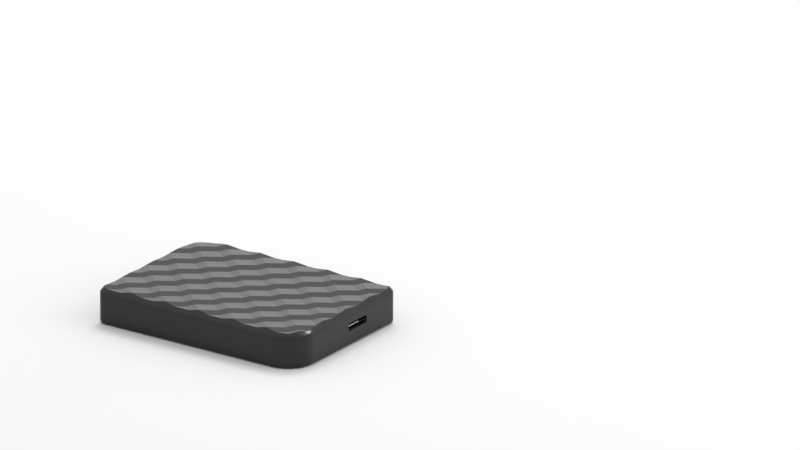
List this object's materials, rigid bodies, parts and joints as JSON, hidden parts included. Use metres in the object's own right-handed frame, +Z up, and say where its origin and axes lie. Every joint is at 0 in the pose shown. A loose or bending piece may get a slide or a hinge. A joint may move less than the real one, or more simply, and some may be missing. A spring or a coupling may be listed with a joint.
{
  "type": "external solid state drive",
  "caption": "Flat rectangular pocket drive in dark plastic with a folded zigzag relief on its cover, two large opposite corners and a stepped socket in one end.",
  "frame": {"origin": "middle of the underside, on the surface that the drive lies on", "axes": "+X towards the end with the socket, +Y across the width, +Z up through the patterned cover"},
  "size_m": [0.1, 0.072, 0.0166],
  "materials": {
    "case_plastic": "satin moulded",
    "cover_plastic": "satin moulded, fine grain",
    "board": "solder mask",
    "sheet_steel": "plated",
    "socket_plastic": "moulded",
    "contact": "gold plated",
    "screw_steel": "plated",
    "chip": "moulded",
    "pad": "soft",
    "ferrite": "sintered",
    "ceramic": "fired"
  },
  "bodies": {
    "root": {"bottom_case": "case_plastic", "top_cover": "cover_plastic", "carrier_board": "board", "port_shell": "sheet_steel", "port_tongue": "socket_plastic", "port_contacts": "contact", "module_board": "board", "module_socket": "socket_plastic", "module_standoff": "contact", "module_screw": "screw_steel", "controller_chip": "chip", "cache_chip": "chip", "memory_chip_1": "chip", "memory_chip_2": "chip", "thermal_pad": "pad", "bridge_chip": "chip", "firmware_chip": "chip", "regulator": "chip", "crystal": "sheet_steel", "inductor": "ferrite", "board_screw_1": "screw_steel", "board_screw_2": "screw_steel", "board_screw_3": "screw_steel", "board_screw_4": "screw_steel", "capacitor_1": "ceramic", "capacitor_2": "ceramic", "capacitor_3": "ceramic", "capacitor_4": "ceramic"}
  },
  "joints": []
}
